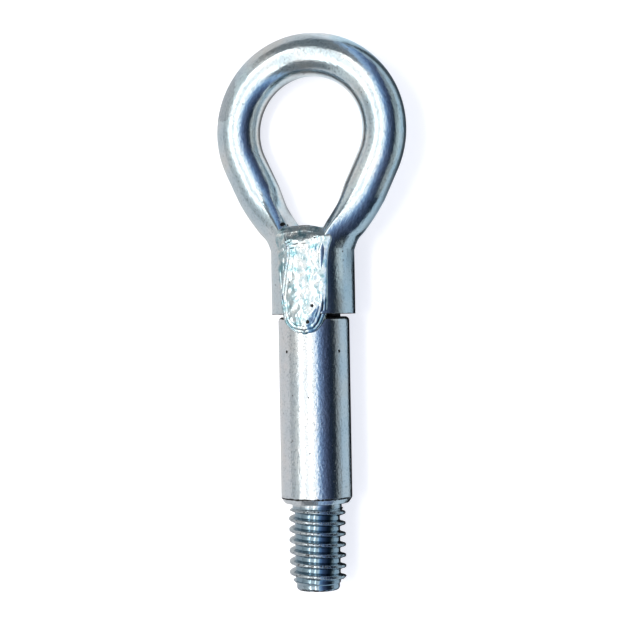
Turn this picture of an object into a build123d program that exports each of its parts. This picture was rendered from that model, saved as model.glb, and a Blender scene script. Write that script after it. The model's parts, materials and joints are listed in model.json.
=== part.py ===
from build123d import *
import os
from math import asin, atan2, cos, degrees, hypot, radians, sin, sqrt, tan

# A screw-in tow eye: a bent bar grips a turned stud and is welded to it front and rear.
# It is drawn with the stud along Y and the seating shoulder at Y = 0, the thread
# towards -Y and the loop towards +Y. The last step lays it on the floor as it rests.

# Turned stud
shank_diameter = 20.0
shank_length = 52.3
shank_corner = 1.2
shank_chamfer_width = 1.0
shank_chamfer_height = 1.5
spigot_diameter = 15.0
spigot_past_shells = 5.0
spigot_chamfer = 1.0

# Thread, left hand
thread_diameter = 16.0
thread_pitch = 3.0
thread_turns = 7.5
thread_depth = 1.9
thread_crest = 0.6
thread_flank_angle = 20.0
thread_length = 25.0
thread_start = 2.0
groove_overshoot = 0.6
neck_below_root = 0.1
neck_length = 2.1
neck_fillet = 1.1
pilot_below_root = 0.2
pilot_length = 2.2
pilot_corner = 1.3

# Half shells that the two ends of the bar are pressed into
shell_wall = 4.25
shell_gap = 0.7
shell_length = 18.0
slot_half_angle = 26.0
lip_roundness = 0.35

# Bar and loop
bar_diameter = 12.25
loop_radius = 21.5
leg_angle = 25.2

# Leg ends, pressed step by step: how far above the shells, and how far along to a shell
knee_rise = 3.56
knee_press_rise = 3.6
knee_press = 0.72
knee_shift = 0.35
second_press_rise = 7.0
second_press = 0.42
first_press_rise = 11.4
first_press = 0.16
round_rise = 15.9
lip_outer_start = 100.0
lip_inner_start = 130.0

# Weld beads: how near the stud's axis they start, and where they end between the legs
weld_depth = 2.0
crotch_rise = 24.7

# Front bead, a flat pad. Its edge: heights from the shells' lower ends, with its reach to
# the left and to the right. Its face: heights, with the crown's sink below the shells.
front_tip_rise = -5.4
front_tip_x = 0.5
front_edge = [
    (-3.9, -4.1, 4.4),
    (-1.0, -5.9, 6.2),
    (4.0, -6.6, 7.2),
    (13.0, -7.5, 8.2),
    (19.0, -8.2, 8.8),
    (21.6, -8.3, 8.5),
    (23.6, -6.8, 6.4),
]
front_face_radius = 20.0
front_block = 10.0
front_face = [
    (-6.0, 1.6),
    (-2.0, 0.4),
    (3.0, 0.1),
    (11.0, 0.05),
    (18.0, 0.1),
    (22.5, 0.9),
    (26.0, 3.6),
]
front_edge_round = 0.8

# Rear bead, straight and round-backed
rear_tongue_lap = 7.8
tongue_sink = 0.3
tongue_radius = 6.0
rear_start_lap = 3.4
rear_proud = 1.0
rear_radius = 5.8
crotch_sink = 2.35
crotch_radius = 8.4

# Worked out from the sizes above
shank_radius = shank_diameter / 2
spigot_radius = spigot_diameter / 2
shell_radius = spigot_radius + shell_wall
shell_middle = spigot_radius + shell_wall / 2
shell_bottom = shank_length + shell_gap
shell_top = shell_bottom + shell_length
spigot_top = shell_top + spigot_past_shells
lip_angle = 90 - slot_half_angle
bar_radius = bar_diameter / 2
lean = radians(leg_angle)
knee_height = shell_top + knee_rise
leg_length_up = (loop_radius * cos(lean) - shell_middle) / tan(lean)
loop_height = knee_height + leg_length_up + loop_radius * sin(lean)
thread_radius = thread_diameter / 2
root_radius = thread_radius - thread_depth
crotch_height = shell_bottom + crotch_rise


def polar(radius, angle):
    return Vector(radius * cos(radians(angle)), radius * sin(radians(angle)))


def leg_point(height):
    """The bar's centre in the right leg at this height."""
    return Vector(shell_middle + (height - knee_height) * tan(lean), height)


def mirrored(point):
    return Vector(-point.X, point.Y)


def bar_section(centre, tilt, pressed):
    """The bar across a leg: round where pressed is 0, a half shell where it is 1."""
    shell_centre = Vector(shell_middle, 0)
    shell_lip = polar(shell_middle, lip_angle) + polar(lip_roundness, lip_angle + 90)
    lip_middle_start = (lip_outer_start + lip_inner_start) / 2

    def between(round_point, shell_point):
        return round_point * (1 - pressed) + (shell_point - shell_centre) * pressed

    def below(point):
        return Vector(point.X, -point.Y)

    outside = between(polar(bar_radius, 0), polar(shell_radius, 0))
    inside = between(polar(bar_radius, 180), polar(spigot_radius, 0))
    lip_outer = between(polar(bar_radius, lip_outer_start), polar(shell_radius, lip_angle))
    lip_middle = between(polar(bar_radius, lip_middle_start), shell_lip)
    lip_inner = between(polar(bar_radius, lip_inner_start), polar(spigot_radius, lip_angle))
    outline = [
        ThreePointArc(below(lip_outer), outside, lip_outer),
        ThreePointArc(lip_outer, lip_middle, lip_inner),
        ThreePointArc(lip_inner, inside, below(lip_inner)),
        ThreePointArc(below(lip_inner), below(lip_middle), below(lip_outer)),
    ]
    turn = radians(tilt)
    across = Plane(
        origin=(centre.X, centre.Y, 0),
        x_dir=(cos(turn), -sin(turn), 0),
        z_dir=(-sin(turn), -cos(turn), 0),
    )
    return across * make_face(outline)


def make_eye():
    """The loop and legs, with both ends pressed into half shells round the spigot."""
    foot = leg_point(shell_top + round_rise)
    leg_top = leg_point(knee_height + leg_length_up)
    top = Vector(0, loop_height + loop_radius)
    path = Wire(
        [
            Line(foot, leg_top),
            ThreePointArc(leg_top, top, mirrored(leg_top)),
            Line(mirrored(leg_top), mirrored(foot)),
        ]
    )
    bar = sweep(Plane(origin=foot, z_dir=leg_top - foot) * Circle(bar_radius), path=path)
    knee = Vector(shell_middle + knee_shift, shell_top + knee_press_rise)
    sections = [
        bar_section(foot, leg_angle, 0),
        bar_section(leg_point(shell_top + first_press_rise), leg_angle, first_press),
        bar_section(leg_point(shell_top + second_press_rise), leg_angle, second_press),
        bar_section(knee, leg_angle / 2, knee_press),
        bar_section(Vector(shell_middle, shell_top), 0, 1),
    ]
    pressed_end = loft(sections) + extrude(sections[-1], shell_length)
    seat_plane = Plane(origin=(0, shell_bottom, 0), z_dir=(0, 1, 0))
    seat = extrude(seat_plane * Circle(spigot_radius), spigot_top - shell_bottom)
    return bar + pressed_end + mirror(pressed_end, Plane.YZ) - seat


def make_groove():
    """The cut between the thread's crests, wound the left-hand way up to the neck."""
    spread = tan(radians(thread_flank_angle))
    root_half = (thread_pitch - thread_crest) / 2 - thread_depth * spread
    reach = thread_depth + groove_overshoot
    mouth_half = root_half + reach * spread
    helix = Helix(thread_pitch, thread_turns * thread_pitch, root_radius, lefthand=True)
    start = helix @ 0
    across = Plane(origin=start, x_dir=start, z_dir=helix % 0)
    profile = Polyline(
        (0, -root_half), (reach, -mouth_half), (reach, mouth_half), (0, root_half), close=True
    )
    groove = sweep(across * make_face(profile), path=helix, is_frenet=True)
    lowest = -thread_start - thread_turns * thread_pitch
    return Pos(0, lowest, 0) * Rot(0, -90, 0) * Rot(-90, 0, 0) * groove


def make_thread():
    """The threaded end below the shoulder, with its neck and its chamfered tip turned off."""
    neck = root_radius - neck_below_root
    pilot = root_radius - pilot_below_root
    tip = -thread_length
    clear = 2 * thread_radius
    waste = tip - thread_pitch
    rod = extrude(Plane(origin=(0, waste, 0), z_dir=(0, 1, 0)) * Circle(thread_radius), -waste)
    around_tip = [
        JernArc((pilot - pilot_corner, tip), (1, 0), pilot_corner, 90),
        Polyline(
            (pilot, tip + pilot_corner),
            (pilot, tip + pilot_length),
            (clear, tip + pilot_length + clear - pilot),
            (clear, waste - thread_pitch),
            (0, waste - thread_pitch),
            (0, tip),
            (pilot - pilot_corner, tip),
        ),
    ]
    around_neck = Polyline(
        (neck, -neck_length),
        (neck, -neck_fillet),
        (neck + neck_fillet, 0),
        (clear, 0),
        (clear, -neck_length),
        close=True,
    )
    tip_waste = revolve(make_face(around_tip), axis=Axis.Y)
    neck_waste = revolve(make_face(around_neck), axis=Axis.Y)
    return rod - make_groove() - tip_waste - neck_waste


def make_stud():
    """The turned piece: thread, shank and the spigot inside the half shells."""
    corner_start = (shank_radius, shank_length - shank_corner)
    outline = [
        Polyline(
            (0, 0),
            (shank_radius - shank_chamfer_width, 0),
            (shank_radius, shank_chamfer_height),
            corner_start,
        ),
        JernArc(corner_start, (0, 1), shank_corner, 90),
        Polyline(
            (shank_radius - shank_corner, shank_length),
            (spigot_radius, shank_length),
            (spigot_radius, spigot_top - spigot_chamfer),
            (spigot_radius - spigot_chamfer, spigot_top),
            (0, spigot_top),
            (0, 0),
        ),
    ]
    return revolve(make_face(outline), axis=Axis.Y) + make_thread()


def weld_ring(height, crown, radius):
    """One round outline of a bead, with its highest point at crown."""
    return Plane(origin=(0, height, crown - radius), z_dir=(0, 1, 0)) * Circle(radius)


def front_section(height, crown):
    """The body under the front bead's face, cut across: an arc on a straight-sided block."""
    side = crown - front_face_radius + sqrt(front_face_radius**2 - front_block**2)
    outline = [
        ThreePointArc((-front_block, side), (0, crown), (front_block, side)),
        Polyline(
            (front_block, side),
            (front_block, weld_depth),
            (-front_block, weld_depth),
            (-front_block, side),
        ),
    ]
    return Plane(origin=(0, height, 0), x_dir=(1, 0, 0), z_dir=(0, -1, 0)) * make_face(outline)


def make_front_bead():
    """A flat pad: its edge, drawn as seen from the front, cuts out the body under its face."""
    tip = Vector(front_tip_x, shell_bottom + front_tip_rise)
    top = Vector(front_tip_x, crotch_height)
    left = [Vector(x, shell_bottom + rise) for rise, x, _ in front_edge]
    right = [Vector(x, shell_bottom + rise) for rise, _, x in front_edge]
    edge = Spline(tip, *right, top, *reversed(left), periodic=True)
    sections = [front_section(shell_bottom + rise, shell_radius - sink) for rise, sink in front_face]
    pad = loft(sections) & extrude(Plane(origin=(0, 0, weld_depth)) * make_face(edge), shell_radius)
    rim = pad.edges().filter_by(GeomType.BSPLINE).sort_by(Axis.Z)[-1]
    return fillet(rim, front_edge_round)


def make_rear_bead():
    """A straight bead that laps onto the shank and ends between the legs."""
    tongue_tip = shank_length - rear_tongue_lap
    crown = shell_radius + rear_proud
    rings = [
        weld_ring(tongue_tip, shank_radius - tongue_sink, tongue_radius),
        weld_ring(shank_length - rear_start_lap, crown, rear_radius),
        weld_ring(shell_top, crown, rear_radius),
        weld_ring(crotch_height, shell_radius - crotch_sink, crotch_radius),
    ]
    body = loft(rings, ruled=True)
    size = body.bounding_box().size
    own_side = Plane(origin=(0, (tongue_tip + crotch_height) / 2, weld_depth))
    return body & extrude(own_side * Rectangle(2 * size.X, 2 * size.Y), size.Z)


eye_loop = make_eye()
threaded_stud = make_stud()
front_weld = make_front_bead() - eye_loop - threaded_stud
rear_weld = Rot(0, 180, 0) * make_rear_bead() - eye_loop - threaded_stud

# Laid down, the part leans on its straight rear bead and on the left side of the loop.
# Both touch the floor when the bead's round and the bar are equally low.
crown_centre = shell_radius + rear_proud - rear_radius
roll = atan2(crown_centre, loop_radius) + asin(
    (rear_radius - bar_radius) / hypot(loop_radius, crown_centre)
)
axis_height = crown_centre * cos(roll) + rear_radius
middle = (loop_height + loop_radius + bar_radius - thread_length) / 2
laid_down = Pos(0, -middle, axis_height) * Rot(0, -degrees(roll), 0)

nodes = {
    "eye_loop": eye_loop,
    "threaded_stud": threaded_stud,
    "front_weld": front_weld,
    "rear_weld": rear_weld,
}
os.makedirs("parts", exist_ok=True)
for name, solid in nodes.items():
    export_step(laid_down * solid, f"parts/{name}.step")
print(f"Rolled {degrees(roll):.3f} degrees, axis {axis_height:.4f} mm up, shoulder at {-middle:.4f} mm")
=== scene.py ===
# %% [markdown]
# # A screw-in tow eye
# A round bar is bent into a teardrop eye. Its two ends are pressed into half shells that grip
# a turned stud, two weld beads lock them together, and the whole piece is zinc plated.
# The measured solids come first, as a frame that never moves. Every piece that follows is a
# finer skin over one of those solids, so it has the same sizes in the same place.

# %% Load the measured frame
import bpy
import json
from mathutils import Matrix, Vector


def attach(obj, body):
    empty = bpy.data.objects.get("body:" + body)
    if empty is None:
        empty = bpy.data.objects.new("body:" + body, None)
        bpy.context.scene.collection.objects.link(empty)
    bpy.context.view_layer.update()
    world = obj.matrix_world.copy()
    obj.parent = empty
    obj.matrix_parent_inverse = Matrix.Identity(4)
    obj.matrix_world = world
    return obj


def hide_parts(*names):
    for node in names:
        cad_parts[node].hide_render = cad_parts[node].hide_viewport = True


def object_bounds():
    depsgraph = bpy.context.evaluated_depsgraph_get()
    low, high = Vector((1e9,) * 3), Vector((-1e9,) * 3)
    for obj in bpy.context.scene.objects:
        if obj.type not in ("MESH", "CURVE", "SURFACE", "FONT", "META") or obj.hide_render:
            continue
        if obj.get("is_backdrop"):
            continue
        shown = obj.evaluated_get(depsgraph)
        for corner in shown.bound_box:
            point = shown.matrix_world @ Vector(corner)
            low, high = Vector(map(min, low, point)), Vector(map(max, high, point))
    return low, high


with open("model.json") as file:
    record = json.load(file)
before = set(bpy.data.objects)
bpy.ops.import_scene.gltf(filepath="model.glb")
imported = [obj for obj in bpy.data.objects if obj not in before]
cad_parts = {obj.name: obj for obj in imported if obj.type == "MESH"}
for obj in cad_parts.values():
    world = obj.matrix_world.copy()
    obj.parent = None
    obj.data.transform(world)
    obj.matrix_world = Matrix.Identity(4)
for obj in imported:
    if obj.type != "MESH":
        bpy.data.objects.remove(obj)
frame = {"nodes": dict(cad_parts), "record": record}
cad_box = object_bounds()
print("frame nodes:", sorted(frame["nodes"]))

# %% [markdown]
# ## How the part lies
# The part can't stand, so it lies with the left side of its loop and its rear weld on the
# floor. It could be drawn in that pose, but then every size is mixed up with its tilt. It is
# easier to draw it straight, with the stud along Y and the shoulder above the thread at zero,
# in millimetres. One matrix then rolls it, lifts it and makes it metres.

# %% Find the roll and the place
import json
from math import atan2, cos, degrees, pi, radians, sin, tan

import bmesh
import bpy
import numpy as np
from mathutils import Matrix, Vector

millimetre = 0.001
mounts = {mount["name"]: mount for mount in frame["record"]["mounts"]}
shoulder = Vector(mounts["shoulder"]["pos_m"])
eye_axis = Vector(mounts["eye"]["axis"])
roll = atan2(-eye_axis.x, eye_axis.z)
rolled = Matrix.Rotation(-roll, 4, "Y")
laid_down = Matrix.Translation(shoulder) @ rolled @ Matrix.Scale(millimetre, 4)
print(f"rolled {degrees(roll):.2f} degrees, axis {shoulder.z / millimetre:.2f} mm above the floor")

# %% [markdown]
# ## Camera
# The picture is taken from straight above with a longish lens. What fixes such a camera is how
# much of the table it sees at the height of the stud, and how far away it stands. The stud
# leans one degree in the picture, so the camera is turned by that much.

# %% Look straight down
picture_width = 0.1803
camera_distance = 0.5
picture_centre = Vector((0.00173, -0.00227))
picture_lean = radians(1.0)

camera = bpy.data.objects.new("camera", bpy.data.cameras.new("camera"))
camera.data.sensor_width = 36.0
camera.data.lens = camera.data.sensor_width * camera_distance / picture_width
camera.location = (picture_centre.x, picture_centre.y, shoulder.z + camera_distance)
camera.rotation_euler = (0.0, 0.0, -picture_lean)
bpy.context.scene.collection.objects.link(camera)
bpy.context.scene.camera = camera
print(f"camera lens {camera.data.lens:.1f} mm")

# %% [markdown]
# ## A small kit for node trees
# Materials, the world and Geometry Nodes are all trees of nodes. They could be wired by hand in
# the editor, but a script can be read, changed and run again. A few short helpers keep its
# cells readable. The first adds any node and feeds its sockets, and the next ones do sums.

# %% Helpers that add nodes and do sums
def add_node(tree, kind, feeds=None, **settings):
    """Adds a node. Feeds gives a value, or the socket that it comes from, to each named input."""
    node = tree.nodes.new(kind)
    for name, value in settings.items():
        setattr(node, name, value)
    for name, value in (feeds or {}).items():
        if isinstance(value, bpy.types.NodeSocket):
            tree.links.new(value, node.inputs[name])
        else:
            node.inputs[name].default_value = value
    return node


def reckon(tree, operation, *values):
    """The answer of one Math node, as a socket. Each value is a number or a socket."""
    feeds = dict(enumerate(values))
    return add_node(tree, "ShaderNodeMath", feeds, operation=operation).outputs[0]


def times(tree, product, *others):
    """The product of two or more values."""
    for other in others:
        product = reckon(tree, "MULTIPLY", product, other)
    return product


print("helpers for nodes and sums are ready")

# %% [markdown]
# Most patterns fade in over some distance, and most colours are a mixture. Map Range, Mix and
# Color Ramp do that, so they get helpers too. A fade that starts high and ends low runs down.

# %% Helpers that fade and mix
def fade(tree, value, start, end):
    """A smooth step from 0 at the start to 1 at the end."""
    feeds = {"Value": value, "From Min": start, "From Max": end}
    node = add_node(tree, "ShaderNodeMapRange", feeds, interpolation_type="SMOOTHSTEP")
    return node.outputs["Result"]


def slope(tree, value, start, end, low, high):
    """A straight line from low at the start to high at the end, and level beyond them."""
    feeds = {"Value": value, "From Min": start, "From Max": end, "To Min": low, "To Max": high}
    return add_node(tree, "ShaderNodeMapRange", feeds).outputs["Result"]


def blend(tree, share, first, second):
    """The first colour where the share is 0, the second where it is 1."""
    feeds = {0: share, 6: first, 7: second}
    return add_node(tree, "ShaderNodeMix", feeds, data_type="RGBA").outputs[2]


def colour_row(tree, factor, stops):
    """The colour that a factor picks from a row of stops, each a place and a colour."""
    node = add_node(tree, "ShaderNodeValToRGB", {"Fac": factor})
    ramp = node.color_ramp
    while len(ramp.elements) < len(stops):
        ramp.elements.new(1.0)
    for element, (place, colour) in zip(ramp.elements, stops):
        element.position = place
        element.color = (*colour, 1.0)
    return node.outputs["Color"]


print("helpers for fades and colours are ready")

# %% [markdown]
# ## Lamps
# Bright metal shows its surroundings, so the lamps are most of the look. The stripes along the
# shank tell what hung above it: a wide soft panel over the left of the table, with two brighter
# tubes in it. Each lamp is set by the two angles between which it fills the sky, because such
# an angle is what a stripe on a round bar shows. Power follows from size, so a lamp can be made
# larger without getting brighter. The panel is too soft to cast a clear shadow, so a small
# strong lamp does that. Reflections don't see it, or it would be a third stripe.

# %% Hang the panel, its tubes and the shadow lamp
def hang_light(name, height, left, right, half_length, radiance):
    """A lamp that fills the sky between two angles to the side, in degrees from straight up."""
    left_edge, right_edge = (height * tan(radians(angle)) for angle in (left, right))
    lamp = bpy.data.objects.new(name, bpy.data.lights.new(name, "AREA"))
    lamp.data.shape = "RECTANGLE"
    lamp.data.size = right_edge - left_edge
    lamp.data.size_y = 2 * height * tan(radians(half_length))
    lamp.data.energy = radiance * pi * lamp.data.size * lamp.data.size_y
    lamp.location = ((left_edge + right_edge) / 2, 0.0, height)
    lamp.visible_camera = False
    bpy.context.scene.collection.objects.link(lamp)
    print(f"{name}: {lamp.data.size:.2f} by {lamp.data.size_y:.2f} m, {lamp.data.energy:.0f} W")
    return lamp


# Height in metres, left edge, right edge and half length in degrees, radiance
hang_light("soft_panel", 2.4, -54, 5, 37, 1.0)
hang_light("left_tube", 2.3, -45.5, -40.5, 38, 3.2)
hang_light("right_tube", 2.3, -18, -13, 38, 3.2)
shadow_lamp = hang_light("shadow_lamp", 2.3, -23, -17, 10, 32.0)
shadow_lamp.visible_glossy = False

# %% [markdown]
# The right side of the loop shows a pale band that the shank doesn't have, so something pale
# stood close beside the loop. A card would give that band, but it would also hide the part in a
# view from the right. A dim strip lamp that only reflections see does the same and hides
# nothing.

# %% Stand a strip beside the loop
strip_height, strip_length = 0.026, 0.112
strip_radiance = 0.36

strip = bpy.data.objects.new("side_strip", bpy.data.lights.new("side_strip", "AREA"))
strip.data.shape = "RECTANGLE"
strip.data.size, strip.data.size_y = strip_height, strip_length
strip.data.color = (0.85, 0.97, 1.0)
strip.data.energy = strip_radiance * pi * strip_height * strip_length
strip.location = (0.06, 0.064, 0.033)
strip.rotation_euler = (0.0, radians(90), 0.0)
strip.visible_camera = False
strip.visible_diffuse = False
bpy.context.scene.collection.objects.link(strip)
print(f"side_strip: {1000 * strip.data.energy:.2f} mW")

# %% [markdown]
# ## Room
# Round the lamps the room is plain grey. To the right of the panel it turns blue and then dark,
# and low down on both sides it is pale. A picture of a room could be wrapped round the scene,
# but a row of colours is enough, because the stud shows the room only as stripes. The colour is
# picked by how far to the side a ray goes, from 0 at the far left to 1 at the far right. The
# view transform is Standard, so that a colour renders about as it is written.

# %% Colour the room
room_stripes = [
    (0.00, (0.48, 0.50, 0.52)),
    (0.08, (0.52, 0.55, 0.57)),
    (0.19, (0.80, 0.84, 0.85)),
    (0.26, (0.20, 0.22, 0.24)),
    (0.50, (0.19, 0.21, 0.23)),
    (0.53, (0.45, 0.68, 0.98)),
    (0.57, (0.26, 0.42, 0.70)),
    (0.63, (0.11, 0.16, 0.30)),
    (0.71, (0.05, 0.07, 0.13)),
    (0.79, (0.01, 0.02, 0.04)),
    (0.875, (0.02, 0.03, 0.04)),
    (0.93, (0.29, 0.34, 0.37)),
    (1.00, (0.36, 0.45, 0.52)),
]

room = bpy.data.worlds.new("room")
room.use_nodes = True
tree = room.node_tree
tree.nodes.clear()
direction = add_node(tree, "ShaderNodeTexCoord").outputs["Generated"]
ray = add_node(tree, "ShaderNodeSeparateXYZ", {"Vector": direction}).outputs
side_share = reckon(tree, "MULTIPLY_ADD", reckon(tree, "ARCSINE", ray["X"]), 1 / pi, 0.5)
room_colour = colour_row(tree, side_share, room_stripes)
backdrop = add_node(tree, "ShaderNodeBackground", {"Color": room_colour, "Strength": 1.0})
add_node(tree, "ShaderNodeOutputWorld", {"Surface": backdrop.outputs["Background"]})
bpy.context.scene.world = room
bpy.context.scene.view_settings.view_transform = "Standard"
print(f"room with {len(room_stripes)} stripes of colour")

# %% [markdown]
# ## Table
# The part lies on white paper. One square is enough for it, if it is so wide that a view from
# the side doesn't see its edge close by.

# %% Lay the table
floor_half = 6.0
floor_corners = [(-1, -1), (1, -1), (1, 1), (-1, 1)]

floor_mesh = bpy.data.meshes.new("floor")
floor_points = [(x * floor_half, y * floor_half, 0) for x, y in floor_corners]
floor_mesh.from_pydata(floor_points, [], [(0, 1, 2, 3)])
floor = bpy.data.objects.new("floor", floor_mesh)
bpy.context.scene.collection.objects.link(floor)
print(f"table {2 * floor_half:.0f} m wide")

# %% [markdown]
# The metal mirrors the table, and close to the part the table is shaded. That shade is what
# draws the dark line along the right edge of the shank. The paper finds it by itself: an Ambient
# Occlusion node that looks up to the left, where the lamps are, tells how much of that side is
# open. It looks further on the right of the part, where the shade is longest.

# %% Find the shade beside the part
def new_material(name):
    """An empty node material and its tree."""
    material = bpy.data.materials.new(name)
    material.use_nodes = True
    material.node_tree.nodes.clear()
    return material, material.node_tree


leftwards = radians(-65)
reach_grows, reaches = (-0.004, 0.008), (0.012, 0.02)
shade_grows, shade_shares = (-0.004, 0.010), (0.7, 1.0)
quite_open, quite_shut = 0.985, 0.87

paper, tree = new_material("white_table")
path = add_node(tree, "ShaderNodeLightPath").outputs
mirrored = path["Is Glossy Ray"]
table_place = add_node(tree, "ShaderNodeTexCoord").outputs["Object"]
table = add_node(tree, "ShaderNodeSeparateXYZ", {"Vector": table_place}).outputs
across, along = table["X"], table["Y"]
upright = add_node(tree, "ShaderNodeNewGeometry").outputs["Normal"]
feeds = {"Vector": upright, "Angle": leftwards}
leaning = add_node(tree, "ShaderNodeVectorRotate", feeds, rotation_type="Y_AXIS")
reach = slope(tree, across, *reach_grows, *reaches)
feeds = {"Normal": leaning.outputs["Vector"], "Distance": reach}
open_left = add_node(tree, "ShaderNodeAmbientOcclusion", feeds, samples=8).outputs["AO"]
shade = fade(tree, open_left, quite_open, quite_shut)
shade = times(tree, shade, slope(tree, across, *shade_grows, *shade_shares))
print(f"the shade is looked for {-degrees(leftwards):.0f} degrees to the left")

# %% [markdown]
# Two places need a hand. Inside the loop the light comes in from above, so the shade goes away
# there. To the right of the loop, which stands higher than the stud, the shade reaches further
# than the node looks. Each edge is a pair of places in metres, between which it fades in. All
# of it is for reflections only: the shadow in the picture is a real one, from the lamps.

# %% Clear the loop and shade its far side
loop_left, loop_bottom = (-0.008, 0.0), (0.012, 0.026)
beyond_left, beyond_bottom, beyond_right = (0.024, 0.031), (0.0, 0.04), (0.076, 0.060)
beyond_share = 0.88

in_loop = times(tree, fade(tree, across, *loop_left), fade(tree, along, *loop_bottom))
shade = reckon(tree, "SUBTRACT", shade, times(tree, shade, in_loop))
beyond = times(tree, fade(tree, across, *beyond_left), fade(tree, along, *beyond_bottom))
beyond = times(tree, beyond, fade(tree, across, *beyond_right))
shade = reckon(tree, "MAXIMUM", shade, times(tree, beyond, beyond_share))
shade = times(tree, shade, mirrored)
print(f"the far side is shaded from {1000 * beyond_left[0]:.0f} to {1000 * beyond_right[0]:.0f} mm")

# %% [markdown]
# Paper has a faint grain of fibres, which a fine noise gives. The metal shows the paper bluer on
# the right of the part than on the left: that blue is painted shade, for the bluish shade beside
# the part. Blue paper would look wrong to the camera, so the blue is mixed in for reflections only.

# %% Colour the paper
paper_tones = [(0.3, (0.51, 0.495, 0.48)), (0.7, (0.53, 0.515, 0.50))]
blue_shade_paper = (0.38, 0.47, 0.53, 1.0)
shaded_paper = (0.008, 0.008, 0.010, 1.0)
blue_shade_left = (0.004, 0.012)

fibre = add_node(tree, "ShaderNodeTexNoise", {"Scale": 900.0, "Detail": 3.0}).outputs["Fac"]
# Painted shade: in reflections the paper turns bluer on the right of the part
blue_shade_side = times(tree, fade(tree, across, *blue_shade_left), mirrored)
whiteness = blend(tree, blue_shade_side, colour_row(tree, fibre, paper_tones), blue_shade_paper)
tone = blend(tree, shade, whiteness, shaded_paper)
matt = add_node(tree, "ShaderNodeBsdfDiffuse", {"Color": tone}).outputs["BSDF"]
print(f"paper with {len(paper_tones)} tones")

# %% [markdown]
# Under these lamps the paper is a light grey. More light would make it white, and would burn out
# the metal as well. So the paper glows a little instead, only for the camera and for
# reflections. It still takes the lamps' shadow, and the part gets no more light from it.

# %% Let the paper glow
camera_glow, metal_glow, loop_glow = 0.76, 0.17, 0.3
white_glow, blue_shade_glow = (0.94, 0.945, 1.0, 1.0), (0.70, 0.90, 1.0, 1.0)
loop_right = (0.022, 0.014)

# Painted light: inside the loop the paper glows more in reflections, for the floor lit from above
lit_loop = times(tree, in_loop, fade(tree, across, *loop_right))
in_metal = reckon(tree, "SUBTRACT", mirrored, shade)
in_metal = times(tree, in_metal, reckon(tree, "MULTIPLY_ADD", lit_loop, loop_glow, metal_glow))
lift = reckon(tree, "MULTIPLY_ADD", path["Is Camera Ray"], camera_glow, in_metal)
# The glow is bluer on the right too, as painted shade
glow_colour = blend(tree, blue_shade_side, white_glow, blue_shade_glow)
glow = add_node(tree, "ShaderNodeEmission", {"Color": glow_colour, "Strength": lift})
lit = add_node(tree, "ShaderNodeAddShader", {0: matt, 1: glow.outputs["Emission"]})
add_node(tree, "ShaderNodeOutputMaterial", {"Surface": lit.outputs["Shader"]})
floor_mesh.materials.append(paper)
floor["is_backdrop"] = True
print(f"{paper.name}: {len(tree.nodes)} nodes")

# %% [markdown]
# ## The zinc finish
# Zinc plate is a bright metal under a thin clear film, and the film's thickness gives it colour:
# teal where it is thin, then blue, grey and straw. It drifts over the bar, it is greyer on the
# turned stud, and on the welds it changes every few millimetres. Each piece has its own row of
# colours, and a noise moves along that row.

# %% Three films
blue_film = [
    (0.28, (0.55, 0.65, 0.70)),
    (0.42, (0.62, 0.71, 0.74)),
    (0.55, (0.69, 0.74, 0.75)),
    (0.72, (0.74, 0.73, 0.69)),
]
grey_film = [
    (0.28, (0.66, 0.71, 0.74)),
    (0.44, (0.72, 0.75, 0.76)),
    (0.56, (0.77, 0.77, 0.76)),
    (0.72, (0.80, 0.76, 0.71)),
]
teal_film = [
    (0.34, (0.24, 0.41, 0.45)),
    (0.42, (0.43, 0.57, 0.60)),
    (0.50, (0.57, 0.66, 0.68)),
    (0.66, (0.70, 0.72, 0.70)),
]
print("colours in the films:", len(blue_film), len(grey_film), len(teal_film))

# %% [markdown]
# The plating isn't even. Each fault is a noise of its own size, so the helper takes that size in
# metres instead of a scale. Steel that was drawn through a die keeps marks along its length, so
# a noise can be stretched along one axis. Dirt, and the painted shade of gaps and pores, is
# painted on the mesh later as an attribute, and a noise tears its edge.

# %% Helpers for noise
def noise(tree, place, size, detail, stretch=(1, 1, 1)):
    """Noise with features of about this size in metres, drawn out along an axis by stretch."""
    frequency = [1 / (size * factor) for factor in stretch]
    feeds = {"Vector": place, "Scale": frequency}
    spread = add_node(tree, "ShaderNodeMapping", feeds, vector_type="POINT").outputs["Vector"]
    feeds = {"Vector": spread, "Scale": 1.0, "Detail": detail}
    return add_node(tree, "ShaderNodeTexNoise", feeds).outputs["Fac"]


def stretched(axis, factor):
    """A stretch along one axis, 0 to 2, and none along the others."""
    return [factor if each == axis else 1 for each in range(3)]


def ragged(tree, mark, place, size):
    """A painted mark, of dirt, stain or painted shade, with the broken edge of real dirt."""
    level = reckon(tree, "SUBTRACT", mark, 0.5)
    torn = reckon(tree, "ADD", noise(tree, place, size, 3.0), level)
    return fade(tree, torn, 0.46, 0.58)


print("helpers for noise are ready")

# %% [markdown]
# The stud is straight, so its drawing marks run along Y. The bar is bent, so its marks follow an
# attribute that holds each point's place on the straight bar. The pits are the middles of
# Voronoi cells, and a broad noise keeps them to some areas, as plating faults are.

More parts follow.
